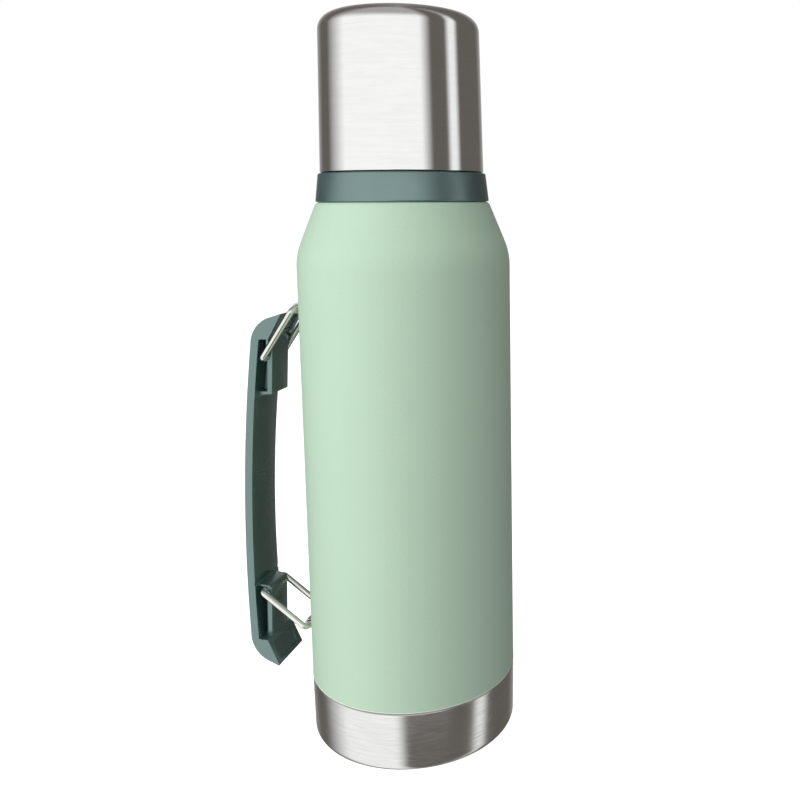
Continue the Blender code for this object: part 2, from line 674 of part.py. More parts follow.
def main():
    clear_scene()
    parts = new_collection("vacuum_flask")
    cutters = new_collection("cutters")
    make_outer_shell(parts)
    make_base_cup(parts)
    make_outer_bottom(parts)
    make_vacuum_seal(parts)
    make_inner_liner(parts)
    make_liner_bottom(parts)
    make_radiation_foil(parts)
    make_getter(parts)
    make_neck_collar(parts, cutters)
    make_cup_shell(parts)
    make_cup_liner(parts)
    make_cup_thread_ring(parts)
    make_cup_gasket(parts)
    make_stopper_body(parts, cutters)
    make_stopper_knob(parts, cutters)
    make_stopper_foam(parts)
    make_stopper_gasket(parts)
    make_stopper_seal_ring(parts)
    make_bracket("upper_bracket", UPPER_HINGE_Z, parts)
    make_bracket("lower_bracket", LOWER_HINGE_Z, parts)
    make_bail("upper_bail", UPPER_HINGE_Z, UPPER_PIN_W, parts)
    make_bail("lower_bail", LOWER_HINGE_Z, LOWER_PIN_W, parts)
    make_grip(parts, cutters)


main()
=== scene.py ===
"""Looks of the vacuum flask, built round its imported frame.

Lengths are in millimetres and become metres through MM.  The flask's axis is Z and its handle is on
the -X side.  Main sizes are read from the frame, so each skin sits on the solid that it stands for.
"""

import math

import bmesh
import bpy
from mathutils import Matrix, Vector


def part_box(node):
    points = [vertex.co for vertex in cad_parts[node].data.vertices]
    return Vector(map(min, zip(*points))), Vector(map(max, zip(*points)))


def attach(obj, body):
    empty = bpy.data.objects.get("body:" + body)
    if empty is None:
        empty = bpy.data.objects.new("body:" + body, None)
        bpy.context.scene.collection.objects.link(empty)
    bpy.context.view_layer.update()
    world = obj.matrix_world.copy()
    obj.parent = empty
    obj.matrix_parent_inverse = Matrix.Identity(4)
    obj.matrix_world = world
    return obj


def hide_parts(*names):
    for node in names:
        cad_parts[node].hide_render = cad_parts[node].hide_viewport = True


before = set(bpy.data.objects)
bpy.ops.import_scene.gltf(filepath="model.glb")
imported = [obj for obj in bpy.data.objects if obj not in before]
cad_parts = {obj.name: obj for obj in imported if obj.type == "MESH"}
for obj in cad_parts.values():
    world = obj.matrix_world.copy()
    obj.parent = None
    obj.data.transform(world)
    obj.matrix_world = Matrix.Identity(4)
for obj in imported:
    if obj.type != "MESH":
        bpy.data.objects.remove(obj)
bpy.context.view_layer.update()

MM = 0.001
SEGMENTS = 192
INNER_SEGMENTS = 128                # for round pieces that are hidden at rest
MERGE = 0.00001
FULL_ROUND = (90.0, -255.0)         # degrees; the lathe closes the last step


def top_mm(node):
    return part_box(node)[1].z / MM


def bottom_mm(node):
    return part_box(node)[0].z / MM


def radius_mm(node):
    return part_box(node)[1].x / MM


# ------------------------------------------------------------------ materials

def new_material(name, colour, roughness, metallic=0.0):
    mat = bpy.data.materials.new(name)
    mat.use_nodes = True
    mat.diffuse_color = (*colour, 1.0)
    shader = mat.node_tree.nodes["Principled BSDF"]
    shader.inputs["Base Color"].default_value = (*colour, 1.0)
    shader.inputs["Roughness"].default_value = roughness
    shader.inputs["Metallic"].default_value = metallic
    return mat, mat.node_tree, shader


def node(tree, kind, **settings):
    made = tree.nodes.new(kind)
    for key, value in settings.items():
        setattr(made, key, value)
    return made


def link(tree, source, target):
    tree.links.new(source, target)


def math_node(tree, operation, first, second=0.0):
    made = node(tree, "ShaderNodeMath", operation=operation)
    for socket, value in zip(made.inputs, (first, second)):
        if isinstance(value, (int, float)):
            socket.default_value = value
        else:
            link(tree, value, socket)
    return made.outputs[0]


def object_position(tree):
    return node(tree, "ShaderNodeTexCoord").outputs["Object"]


def noise(tree, vector, scale, detail=2.0, roughness=0.5):
    made = node(tree, "ShaderNodeTexNoise")
    made.inputs["Scale"].default_value = scale
    made.inputs["Detail"].default_value = detail
    made.inputs["Roughness"].default_value = roughness
    link(tree, vector, made.inputs["Vector"])
    return made.outputs["Fac"]


def spread(tree, value, low, high, from_low=0.3, from_high=0.7):
    """Map a noise value's middle range on to low..high."""
    made = node(tree, "ShaderNodeMapRange")
    made.inputs["From Min"].default_value = from_low
    made.inputs["From Max"].default_value = from_high
    made.inputs["To Min"].default_value = low
    made.inputs["To Max"].default_value = high
    link(tree, value, made.inputs["Value"])
    return made.outputs["Result"]


def mix_colours(tree, factor, first, second):
    made = node(tree, "ShaderNodeMix", data_type="RGBA")
    for socket, value in ((made.inputs[6], first), (made.inputs[7], second)):
        if isinstance(value, tuple):
            socket.default_value = (*value, 1.0)
        else:
            link(tree, value, socket)
    link(tree, factor, made.inputs[0])
    return made.outputs[2]


def add_bump(tree, shader, heights):
    """Chain bumps, each (height, distance in metres, strength), into the shader's normal."""
    normal = None
    for height, distance, strength in heights:
        bump = node(tree, "ShaderNodeBump")
        bump.inputs["Distance"].default_value = distance
        bump.inputs["Strength"].default_value = strength
        link(tree, height, bump.inputs["Height"])
        if normal is not None:
            link(tree, normal, bump.inputs["Normal"])
        normal = bump.outputs["Normal"]
    link(tree, normal, shader.inputs["Normal"])


def shade(colour, factor):
    return tuple(min(1.0, c * factor) for c in colour)


def powder_coat(name, colour):
    """Satin powder coat: fine pebbled skin with faint cloudiness."""
    mat, tree, shader = new_material(name, colour, 0.5)
    where = object_position(tree)
    grain = noise(tree, where, 1500.0, 3.0, 0.55)
    fine = noise(tree, where, 5200.0, 1.0)
    cloud = noise(tree, where, 26.0, 2.0)
    tint = mix_colours(tree, spread(tree, grain, 0.0, 1.0), shade(colour, 0.965), shade(colour, 1.03))
    tint = mix_colours(tree, spread(tree, cloud, 0.0, 0.35), tint, shade(colour, 0.955))
    link(tree, tint, shader.inputs["Base Color"])
    link(tree, spread(tree, grain, 0.44, 0.56), shader.inputs["Roughness"])
    add_bump(tree, shader, ((grain, 0.00005, 0.35), (fine, 0.00002, 0.25)))
    shader.inputs["Specular IOR Level"].default_value = 0.42
    return mat


def turned_position(tree, across, along):
    """Coordinates that follow the turning of a round piece: scratches run round the axis."""
    where = node(tree, "ShaderNodeSeparateXYZ")
    link(tree, object_position(tree), where.inputs[0])
    angle = math_node(tree, "ARCTAN2", where.outputs["Y"], where.outputs["X"])
    x2 = math_node(tree, "MULTIPLY", where.outputs["X"], where.outputs["X"])
    y2 = math_node(tree, "MULTIPLY", where.outputs["Y"], where.outputs["Y"])
    reach = math_node(tree, "SQRT", math_node(tree, "ADD", x2, y2))
    combined = node(tree, "ShaderNodeCombineXYZ")
    link(tree, math_node(tree, "MULTIPLY", angle, along), combined.inputs["X"])
    link(tree, math_node(tree, "MULTIPLY", reach, across), combined.inputs["Y"])
    link(tree, math_node(tree, "MULTIPLY", where.outputs["Z"], across), combined.inputs["Z"])
    return combined.outputs[0]


def brushed_steel(name, colour, roughness, grain_strength, anisotropic, contrast):
    """Steel brushed round the axis: streaks in height, sharp reflections along the round."""
    mat, tree, shader = new_material(name, colour, roughness, 1.0)
    lines = noise(tree, turned_position(tree, 2600.0, 7.0), 1.0, 3.0, 0.6)
    broad = noise(tree, turned_position(tree, 520.0, 2.2), 1.0, 2.0)
    link(tree, spread(tree, lines, roughness - 0.05 * contrast, roughness + 0.07 * contrast),
         shader.inputs["Roughness"])
    tint = mix_colours(tree, spread(tree, broad, 0.0, 1.0), shade(colour, 1.0 - 0.05 * contrast),
                       shade(colour, 1.0 + 0.05 * contrast))
    tint = mix_colours(tree, spread(tree, lines, 0.0, 0.6 * contrast), tint, shade(colour, 0.88))
    link(tree, tint, shader.inputs["Base Color"])
    add_bump(tree, shader, ((lines, 0.00001, grain_strength),))
    tangent = node(tree, "ShaderNodeTangent", direction_type="RADIAL", axis="Z")
    link(tree, tangent.outputs[0], shader.inputs["Tangent"])
    shader.inputs["Anisotropic"].default_value = anisotropic
    shader.inputs["Anisotropic Rotation"].default_value = 0.25
    return mat


def moulded_plastic(name, colour, roughness, ior=2.1):
    """Satin moulded plastic: fine spark-eroded skin, slight flow marks."""
    mat, tree, shader = new_material(name, colour, roughness)
    where = object_position(tree)
    grain = noise(tree, where, 2400.0, 2.0, 0.6)
    flow = noise(tree, where, 60.0, 3.0)
    link(tree, spread(tree, flow, roughness - 0.05, roughness + 0.06), shader.inputs["Roughness"])
    tint = mix_colours(tree, spread(tree, grain, 0.0, 1.0), shade(colour, 0.9), shade(colour, 1.12))
    link(tree, tint, shader.inputs["Base Color"])
    add_bump(tree, shader, ((grain, 0.00004, 0.25),))
    shader.inputs["IOR"].default_value = ior
    shader.inputs["Specular IOR Level"].default_value = 0.9
    shader.inputs["Specular Tint"].default_value = (0.74, 1.0, 0.97, 1.0)
    return mat


def polished_wire(name, colour, roughness):
    mat, tree, shader = new_material(name, colour, roughness, 1.0)
    where = object_position(tree)
    marks = noise(tree, where, 900.0, 3.0)
    link(tree, spread(tree, marks, roughness - 0.04, roughness + 0.08), shader.inputs["Roughness"])
    add_bump(tree, shader, ((marks, 0.00002, 0.15),))
    return mat


def soft_rubber(name, colour, roughness):
    mat, tree, shader = new_material(name, colour, roughness)
    where = object_position(tree)
    dust = noise(tree, where, 700.0, 3.0)
    tint = mix_colours(tree, spread(tree, dust, 0.0, 1.0), shade(colour, 0.94), shade(colour, 1.05))
    link(tree, tint, shader.inputs["Base Color"])
    link(tree, spread(tree, dust, roughness - 0.06, roughness + 0.06), shader.inputs["Roughness"])
    add_bump(tree, shader, ((dust, 0.00003, 0.2),))
    return mat


LOOKS = {
    "green_powder_coat": powder_coat("green_powder_coat", (0.515, 0.70, 0.545)),
    "collar_plastic": moulded_plastic("collar_plastic", (0.026, 0.060, 0.064), 0.36, 2.3),
    "pale_edge": soft_rubber("pale_edge", (0.86, 0.90, 0.86), 0.4),
    "brushed_cup": brushed_steel("brushed_cup", (0.88, 0.88, 0.87), 0.13, 0.12, 0.85, 0.4),
    "brushed_base": brushed_steel("brushed_base", (0.83, 0.83, 0.81), 0.20, 0.40, 0.8, 1.0),
    "plain_steel": brushed_steel("plain_steel", (0.62, 0.62, 0.61), 0.30, 0.25, 0.5, 1.0),
    "bright_wire": polished_wire("bright_wire", (0.86, 0.84, 0.80), 0.09),
    "dark_green_plastic": moulded_plastic("dark_green_plastic", (0.034, 0.068, 0.064), 0.21),
    "stopper_plastic": moulded_plastic("stopper_plastic", (0.034, 0.068, 0.064), 0.4),
    "silicone": soft_rubber("silicone", (0.70, 0.71, 0.68), 0.62),
    "white_foam": soft_rubber("white_foam", (0.80, 0.78, 0.71), 0.9),
    "copper_foil": polished_wire("copper_foil", (0.75, 0.40, 0.26), 0.25),
    "seal_glass": soft_rubber("seal_glass", (0.52, 0.54, 0.50), 0.25),
}


# ------------------------------------------------------------------ shapes

def fillet(points, closed=True, steps=5):
    """Round an outline's corners: each point is (a, b) or (a, b, radius)."""
    count = len(points)
    result = []
    for i, point in enumerate(points):
        corner = Vector(point[:2])
        radius = point[2] if len(point) > 2 else 0.0
        at_end = not closed and i in (0, count - 1)
        if radius <= 0.0 or at_end:
            result.append(tuple(corner))
            continue
        before = (Vector(points[i - 1][:2]) - corner).normalized()
        after = (Vector(points[(i + 1) % count][:2]) - corner).normalized()
        half = before.angle(after) * 0.5
        reach = radius / math.tan(half)
        centre = corner + (before + after).normalized() * (radius / math.sin(half))
        start = corner + before * reach - centre
        end = corner + after * reach - centre
        turn = start.angle_signed(end)
        for k in range(steps + 1):
            a = -turn * k / steps
            result.append((centre.x + start.x * math.cos(a) - start.y * math.sin(a),
                           centre.y + start.x * math.sin(a) + start.y * math.cos(a)))
    return result


def arc(centre, radius, start_deg, end_deg, steps):
    points = []
    for i in range(steps + 1):
        a = math.radians(start_deg + (end_deg - start_deg) * i / steps)
        points.append((centre[0] + radius * math.cos(a), centre[1] + radius * math.sin(a)))
    return points


def finish_piece(obj, look, body, replaced, sharp_deg=40.0):
    obj.data.materials.clear()
    obj.data.materials.append(LOOKS[look])
    obj.data.shade_smooth()
    obj.data.set_sharp_from_angle(angle=math.radians(sharp_deg))
    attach(obj, body)
    if replaced:
        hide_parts(*replaced)
    return obj


def mesh_object(name, bm):
    mesh = bpy.data.meshes.new(name)
    bm.to_mesh(mesh)
    bm.free()
    obj = bpy.data.objects.new(name, mesh)
    bpy.context.scene.collection.objects.link(obj)
    return obj


def lathe(name, outline, segments=SEGMENTS):
    """Turn an outline (radius, height) in mm about Z. It runs down the outer side first."""
    bm = bmesh.new()
    rings = []
    for r, z in outline:
        if r < 0.001:
            rings.append([bm.verts.new((0.0, 0.0, z * MM))])
            continue
        ring = []
        for i in range(segments):
            a = 2.0 * math.pi * i / segments
            ring.append(bm.verts.new((r * math.cos(a) * MM, r * math.sin(a) * MM, z * MM)))
        rings.append(ring)
    pairs = list(zip(rings, rings[1:]))
    if len(rings[0]) > 1 and len(rings[-1]) > 1:
        pairs.append((rings[-1], rings[0]))
    for upper, lower in pairs:
        for i in range(segments):
            j = (i + 1) % segments
            face = [upper[i % len(upper)], lower[i % len(lower)],
                    lower[j % len(lower)], upper[j % len(upper)]]
            corners = list(dict.fromkeys(face))
            if len(corners) > 2:
                bm.faces.new(corners)
    bmesh.ops.recalc_face_normals(bm, faces=bm.faces)
    return mesh_object(name, bm)


def rounded_path(points, radii, steps):
    """Polyline through 3-D points with each inner corner rounded to its radius."""
    path = [Vector(points[0])]
    for before, corner, after, radius in zip(points, points[1:], points[2:], radii):
        c = Vector(corner)
        a = (Vector(before) - c).normalized()
        b = (Vector(after) - c).normalized()
        half = a.angle(b) * 0.5
        reach = radius / math.tan(half)
        start = c + a * reach
        centre = c + (a + b).normalized() * (radius / math.sin(half))
        sweep = math.pi - 2.0 * half
        axis = (start - centre).cross(b * reach + c - centre).normalized()
        for i in range(steps + 1):
            turn = Matrix.Rotation(sweep * i / steps, 3, axis)
            path.append(centre + turn @ (start - centre))
    path.append(Vector(points[-1]))
    return path


# ------------------------------------------------------------------ bottle

body_r = radius_mm("outer_shell")
base_h = top_mm("base_cup")
ledge_z = bottom_mm("neck_collar") - 0.3
neck_top = top_mm("outer_shell")
lip_top = top_mm("inner_liner")
NECK_R = 29.5
SHOULDER_Z = 229.0
SHOULDER_BEND = 30.0
CONE_DEG = 23.0
LEDGE_R = 40.8
FOOT_R = 49.6
SKIRT_R = 48.5
SKIRT_FOOT_Z = 5.0
WALL = 0.8


def build_outer_shell():
    bend = arc((body_r - SHOULDER_BEND, SHOULDER_Z), SHOULDER_BEND, CONE_DEG, 0.0, 24)
    outer = [(NECK_R, neck_top, 0.25), (NECK_R, ledge_z, 0.8), (LEDGE_R - 0.9, ledge_z, 1.0),
             (LEDGE_R, ledge_z - 1.2, 2.0)]
    outer += bend
    coat_end = base_h + 0.3
    outer += [(body_r, coat_end, 0.35), (SKIRT_R, coat_end, 0.2), (SKIRT_R, SKIRT_FOOT_Z, 0.2)]
    inside = [(SKIRT_R - WALL, SKIRT_FOOT_Z, 0.2), (SKIRT_R - WALL, base_h + 1.1),
              (body_r - WALL, base_h + 2.3)]
    inner_bend = arc((body_r - SHOULDER_BEND, SHOULDER_Z), SHOULDER_BEND - WALL, 0.0, CONE_DEG, 12)
    inside += inner_bend
    inside += [(LEDGE_R - WALL, ledge_z - 1.8), (LEDGE_R - 1.8, ledge_z - WALL),
               (NECK_R - 0.7, ledge_z - WALL), (NECK_R - 0.7, neck_top)]
    obj = lathe("painted_body", fillet(outer + inside))
    return finish_piece(obj, "green_powder_coat", "bottle", ["outer_shell"])


def build_paint_edge():
    """Thin pale bead where the coat ends above the bare base."""
    bead_r = 0.22
    bead = arc((body_r - 0.14, base_h + 0.55), bead_r, *FULL_ROUND, 15)
    obj = lathe("paint_edge", bead)
    return finish_piece(obj, "pale_edge", "bottle", [])


def build_base():
    foot_radius = 3.5
    outer = [(0.0, WALL), (31.4, WALL, 0.5), (32.4, 1.7, 0.5), (39.6, 1.7, 0.5), (40.6, WALL, 0.5),
             (FOOT_R - WALL, WALL, foot_radius - WALL), (body_r - WALL, base_h)]
    outer += [(body_r - 0.55, base_h), (body_r - 0.02, base_h - 0.5, 0.25), (FOOT_R, 0.0, foot_radius),
              (40.0, 0.0, 0.4), (39.0, 0.9, 0.4), (33.0, 0.9, 0.4), (32.0, 0.0, 0.4), (0.0, 0.0)]
    obj = lathe("steel_base", fillet(outer, closed=False, steps=8))
    return finish_piece(obj, "brushed_base", "bottle", ["base_cup"])


def build_liner():
    liner_r = radius_mm("inner_liner")
    neck_r = 28.3
    wall = 0.7
    neck_z = 249.0
    shoulder_z = 219.0
    shoulder_bend = 12.0
    cone_deg = 62.0
    foot_z = bottom_mm("inner_liner")

    def wall_line(offset, top_z):
        bend = arc((liner_r - shoulder_bend, shoulder_z), shoulder_bend + offset, cone_deg, 0.0, 12)
        return [(neck_r + offset, top_z, 0.15), (neck_r + offset, neck_z, 1.5)] + bend + [
            (liner_r + offset, foot_z)]

    outer = wall_line(0.0, lip_top - WALL)
    inner = list(reversed(wall_line(-wall, lip_top)))
    inner[-1] = (neck_r - wall, lip_top, 0.6)
    lip = [(NECK_R, lip_top, 0.35), (NECK_R, lip_top - WALL, 0.2)]
    obj = lathe("inner_bottle", fillet(lip + outer + inner), INNER_SEGMENTS)
    return finish_piece(obj, "plain_steel", "bottle", ["inner_liner"])


# ------------------------------------------------------------------ collar and threads

SLEEVE_R = 33.4
COLLAR_TOP_Z = 272.4
COLLAR_TOP_R = 38.9
THREAD_PITCH = 4.0
THREAD_SINK = 0.5                   # how far a ridge is sunk into its wall
THREAD_STEPS = 96                   # per turn
COLLAR_THREAD_Z = 277.0


def thread_ridge(name, root_r, height, start_z, turns):
    """Helical ridge with rounded crest that runs out at both ends."""
    count = int(THREAD_STEPS * turns)
    bm = bmesh.new()
    rings = []
    for i in range(count + 1):
        share = i / count
        fade = math.sin(min(1.0, share / 0.1, (1.0 - share) / 0.1) * math.pi / 2.0)
        crest = root_r + height * fade - THREAD_SINK * 0.3 * (1.0 - fade)
        angle = 2.0 * math.pi * turns * share
        z = start_z + THREAD_PITCH * turns * share
        section = [(root_r - THREAD_SINK, -1.05), (root_r + 0.05 * fade, -0.95), (crest - 0.2, -0.45),
                   (crest, -0.22), (crest, 0.22), (crest - 0.2, 0.45), (root_r + 0.05 * fade, 0.95),
                   (root_r - THREAD_SINK, 1.05)]
        rings.append([bm.verts.new((r * math.cos(angle) * MM, r * math.sin(angle) * MM, (z + dz) * MM))
                      for r, dz in section])
    size = len(rings[0])
    for a, b in zip(rings, rings[1:]):
        for k in range(size):
            bm.faces.new((a[k], b[k], b[(k + 1) % size], a[(k + 1) % size]))
    bm.faces.new(rings[0])
    bm.faces.new(list(reversed(rings[-1])))
    bmesh.ops.recalc_face_normals(bm, faces=bm.faces)
    return mesh_object(name, bm)


def build_collar():
    foot_z = bottom_mm("neck_collar")
    outer_r = radius_mm("neck_collar")
    sleeve_top = top_mm("neck_collar")
    bore = NECK_R + 0.4
    outline = [(SLEEVE_R, sleeve_top, 0.5), (SLEEVE_R, COLLAR_TOP_Z - 0.4, 0.3),
               (COLLAR_TOP_R, COLLAR_TOP_Z - 0.4, 0.7), (outer_r, foot_z, 0.6),
               (LEDGE_R - 1.6, foot_z, 0.1), (LEDGE_R - 1.6, ledge_z + 0.02, 0.05),
               (bore, ledge_z + 0.02, 0.2), (bore, sleeve_top, 0.4)]
    obj = lathe("collar", fillet(outline))
    finish_piece(obj, "collar_plastic", "bottle", ["neck_collar"])
    ridge = thread_ridge("collar_thread", SLEEVE_R, 1.0, COLLAR_THREAD_Z, 1.25)
    return finish_piece(ridge, "dark_green_plastic", "bottle", [])


# ------------------------------------------------------------------ cup

def build_cup():
    foot_z = bottom_mm("cup_shell")
    top_z = top_mm("cup_shell")
    foot_r = radius_mm("cup_shell")
    top_r = 36.65
    wall = 0.7
    corner = 7.0
    outline = [(0.0, top_z), (top_r, top_z, corner), (foot_r, foot_z + 0.1, 0.3),
               (foot_r - wall, foot_z, 0.2), (top_r - wall, top_z - wall, corner - wall),
               (0.0, top_z - wall)]
    obj = lathe("cup_outer", fillet(outline, closed=False, steps=14))
    finish_piece(obj, "brushed_cup", "cup", ["cup_shell"])
    liner_top = top_mm("cup_liner")
    rim_z = bottom_mm("cup_liner")
    inner_r = 34.6
    flange_r = radius_mm("cup_liner")
    outline = [(0.0, liner_top), (inner_r - 1.3, liner_top, 6.0), (inner_r, rim_z + 0.7, 0.3),
               (flange_r, rim_z + 0.7, 0.2), (flange_r, rim_z, 0.2), (inner_r - 0.7, rim_z, 0.3),
               (inner_r - 2.0, liner_top - 0.7, 5.3), (0.0, liner_top - 0.7)]
    obj = lathe("cup_inner", fillet(outline, closed=False, steps=10), INNER_SEGMENTS)
    return finish_piece(obj, "plain_steel", "cup", ["cup_liner"])


CUP_RING_BORE_R = 34.8
CUP_SEAL_BORE_R = 31.2
STOPPER_SEAL_BORE_R = 25.1


def build_ring(name, source, look, body, inner_r, edge=0.3):
    low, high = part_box(source)
    outer_r = high.x / MM
    z0, z1 = low.z / MM, high.z / MM
    outline = [(outer_r, z1, edge), (outer_r, z0, edge), (inner_r, z0, edge), (inner_r, z1, edge)]
    obj = lathe(name, fillet(outline), INNER_SEGMENTS)
    return finish_piece(obj, look, body, [source])


# ------------------------------------------------------------------ stopper

STOPPER_R = 26.4
KNOB_FLUTES = 18
PLUG_THREAD_Z = 262.0
PLUG_SHOULDER_Z = 282.0


def build_stopper_body():
    z0 = bottom_mm("stopper_body")
    top = top_mm("stopper_body")
    groove = STOPPER_R - 1.4
    neck_z = PLUG_SHOULDER_Z + 2.0
    outline = [(0.0, z0 + 2.0), (groove - 1.2, z0 + 2.0, 0.8), (groove - 1.2, z0 + 8.0, 0.5),
               (STOPPER_R - 2.0, z0 + 9.0, 0.5), (STOPPER_R - 2.0, PLUG_SHOULDER_Z + 1.0, 0.3),
               (STOPPER_R - 3.0, neck_z, 0.3), (STOPPER_R - 3.0, top, 0.2),
               (STOPPER_R - 1.6, top, 0.2), (STOPPER_R - 1.6, neck_z, 0.4),
               (STOPPER_R, PLUG_SHOULDER_Z, 0.4), (STOPPER_R, z0 + 7.0, 0.25),
               (groove, z0 + 7.0, 0.3), (groove, z0 + 3.6, 0.3), (STOPPER_R, z0 + 3.6, 0.25),
               (STOPPER_R, z0 + 1.5, 0.4), (STOPPER_R - 1.5, z0, 0.5), (0.0, z0)]
    obj = lathe("stopper_plug", fillet(outline, closed=False), INNER_SEGMENTS)
    finish_piece(obj, "stopper_plastic", "stopper", ["stopper_body"])
    ridge = thread_ridge("stopper_plug_thread", STOPPER_R, 0.75, PLUG_THREAD_Z, 1.5)
    return finish_piece(ridge, "stopper_plastic", "stopper", [])


def build_knob():
    """Fluted knob: the flutes are scallops in a turned form, fading out at both ends."""
    z0, z1 = bottom_mm("stopper_knob"), top_mm("stopper_knob")
    outer_r = radius_mm("stopper_gasket") + 1.2
    inner_r = STOPPER_R - 4.0
    rise = [z0 + 1.2 + (z1 - z0 - 5.4) * i / 14 for i in range(15)]
    outline = fillet([(0.0, z1 - 1.4), (14.0, z1 - 1.4, 1.5), (16.5, z1, 1.5), (outer_r, z1, 3.4),
                      (outer_r, z0 + 1.0)], closed=False, steps=8)[:-1]
    outline += [(outer_r, z) for z in reversed(rise)]
    outline += fillet([(outer_r, z0 + 1.1), (outer_r, z0, 0.9), (inner_r, z0, 0.3),
                       (inner_r, z1 - 2.8, 1.0), (0.0, z1 - 2.8)], closed=False, steps=5)[1:]
    obj = lathe("stopper_grip", outline, KNOB_FLUTES * 12)
    for vert in obj.data.vertices:
        r = math.hypot(vert.co.x, vert.co.y) / MM
        z = vert.co.z / MM
        if r < outer_r - 2.6 or z > z1 - 0.3:
            continue
        angle = math.atan2(vert.co.y, vert.co.x)
        wave = max(0.0, math.cos(KNOB_FLUTES * angle)) ** 1.5
        ends = min(1.0, (z - z0) / 3.0, (z1 - z) / 5.0)
        cut = 1.0 - 1.0 * wave * math.sin(max(0.0, ends) * math.pi / 2.0) / r
        vert.co.x *= cut
        vert.co.y *= cut
    return finish_piece(obj, "stopper_plastic", "stopper", ["stopper_knob"], 50.0)


def build_seal_ring():
    low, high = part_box("stopper_seal_ring")
    z = (low.z + high.z) * 0.5 / MM
    obj = lathe("seal_ring", arc((STOPPER_R - 0.15, z), 0.9, *FULL_ROUND, 23), INNER_SEGMENTS)
    return finish_piece(obj, "silicone", "stopper", ["stopper_seal_ring"])


# ------------------------------------------------------------------ handle

HINGE_R = 52.95
UPPER_HINGE_Z = 208.12
LOWER_HINGE_Z = 46.95
WIRE_R = 1.5
LEG_T = 11.6
PIN_END_T = 3.4
PIN_BEND = 1.7
GRIP_R = 72.32
GRIP_Z = 116.51
GRIP_TILT = math.radians(2.78)
GRIP_HALF_T = 13.28
WAIST_HALF_T = 12.2
WAIST_W = (-80.0, -60.0, -45.0, -30.0, -15.0, 0.0, 15.0, 30.0, 45.0, 60.0, 80.0)
BARE_STRAP_W = (-47.0, 44.0)        # the strap's inner face between the blocks
CROWN_U = 9.6
CROWN_R = 750.0
STRAP_T = 3.9
CURL_W = 74.3
CURL_R = 14.6
CURL_DEG = 68.0
TIP_U = -9.9
TIP_W = 90.3
BLOCK_U = -2.94
BLOCK_HALF_T = 8.6
CAP_W = 77.3
SLOT_U = -0.65
UPPER_SLOT_W = (50.5, CAP_W)
LOWER_SLOT_W = (-CAP_W, -51.05)
SLOT_FLOOR_T = 2.2
UPPER_SHOULDER_W = (45.5, CAP_W)
LOWER_SHOULDER_W = (-CAP_W, -48.0)
WEB_U = -2.3
WEB_W = 74.3
WEB_RISE = 7.0
CUT_END_U = -8.0                    # cutters reach past the blocks to here
CUT_END_T = 20.0
SHOULDER_INSET = 0.05               # how far the cutters bite into the strap's inner face
POCKET_INSET = 0.09
PANEL_SPAN = (0.22, 0.8)            # share of the cap's flared face
PANEL_DEPTH = 0.6
PANEL_HALF_T = 9.2
EDGE_SEGMENTS = 3
EDGE_ANGLE = math.radians(28.0)
HINGE_BEND = 2.0
PIN_U = 0.7
UPPER_PIN_W = 67.09
LOWER_PIN_W = -52.56


def grip_matrix():
    """Places the grip's own axes: u outward, w up along it, t across it."""
    c, s = math.cos(GRIP_TILT), math.sin(GRIP_TILT)
    columns = Matrix(((-c, s, 0.0), (0.0, 0.0, 1.0), (s, c, 0.0)))
    return Matrix.Translation(Vector((-GRIP_R * MM, 0.0, GRIP_Z * MM))) @ columns.to_4x4()


def grip_point(u, w):
    c, s = math.cos(GRIP_TILT), math.sin(GRIP_TILT)
    return (GRIP_R + u * c - w * s, GRIP_Z + w * c + u * s)


def grip_outline():
    centre_u = CROWN_U - CROWN_R
    reach = math.degrees(math.asin(CURL_W / CROWN_R))
    crown = arc((centre_u, 0.0), CROWN_R, -reach, reach, 30)
    start_u, start_w = crown[-1]
    curl = arc((start_u - CURL_R, start_w), CURL_R, 0.0, CURL_DEG, 14)[1:]
    tip = (TIP_U, TIP_W, 0.35)
    upper_inner = [(BLOCK_U - 0.3, CAP_W, 1.0), (BLOCK_U, 49.3, 0.5), (4.2, 48.6, 2.4)]
    lower_inner = [(4.4, -49.7, 0.6), (BLOCK_U, -50.4, 1.9), (BLOCK_U - 0.3, -CAP_W, 1.0)]
    lower_curl = [(u, -w) for u, w in reversed(curl)]
    points = crown + curl + [tip] + upper_inner + strap_curve(0.0, *BARE_STRAP_W, 16) + lower_inner
    points += [(TIP_U, -TIP_W, 0.35)] + lower_curl
    return fillet(points, steps=5)


def prism(name, outline, half_width, matrix):
    """Solid with a flat outline (a, b) in mm, extruded to both sides of its plane."""
    bm = bmesh.new()
    low = [bm.verts.new((a * MM, b * MM, -half_width * MM)) for a, b in outline]
    high = [bm.verts.new((a * MM, b * MM, half_width * MM)) for a, b in outline]
    bm.faces.new(low)
    bm.faces.new(high)
    for i in range(len(outline)):
        j = (i + 1) % len(outline)
        bm.faces.new((low[i], low[j], high[j], high[i]))
    bmesh.ops.transform(bm, matrix=matrix, verts=bm.verts)
    bmesh.ops.recalc_face_normals(bm, faces=bm.faces)
    return mesh_object(name, bm)


def apply_modifiers(obj):
    depsgraph = bpy.context.evaluated_depsgraph_get()
    mesh = bpy.data.meshes.new_from_object(obj.evaluated_get(depsgraph))
    obj.modifiers.clear()
    old = obj.data
    obj.data = mesh
    bpy.data.meshes.remove(old)


def subtract(obj, cutters):
    for cutter in cutters:
        mod = obj.modifiers.new(cutter.name, "BOOLEAN")
        mod.operation = "DIFFERENCE"
        mod.object = cutter
        mod.solver = "EXACT"
    apply_modifiers(obj)
    for cutter in cutters:
        bpy.data.objects.remove(cutter, do_unlink=True)


def bevel(obj, width):
    mod = obj.modifiers.new("edges", "BEVEL")
    mod.width = width * MM
    mod.segments = EDGE_SEGMENTS
    mod.limit_method = "ANGLE"
    mod.angle_limit = EDGE_ANGLE
    apply_modifiers(obj)


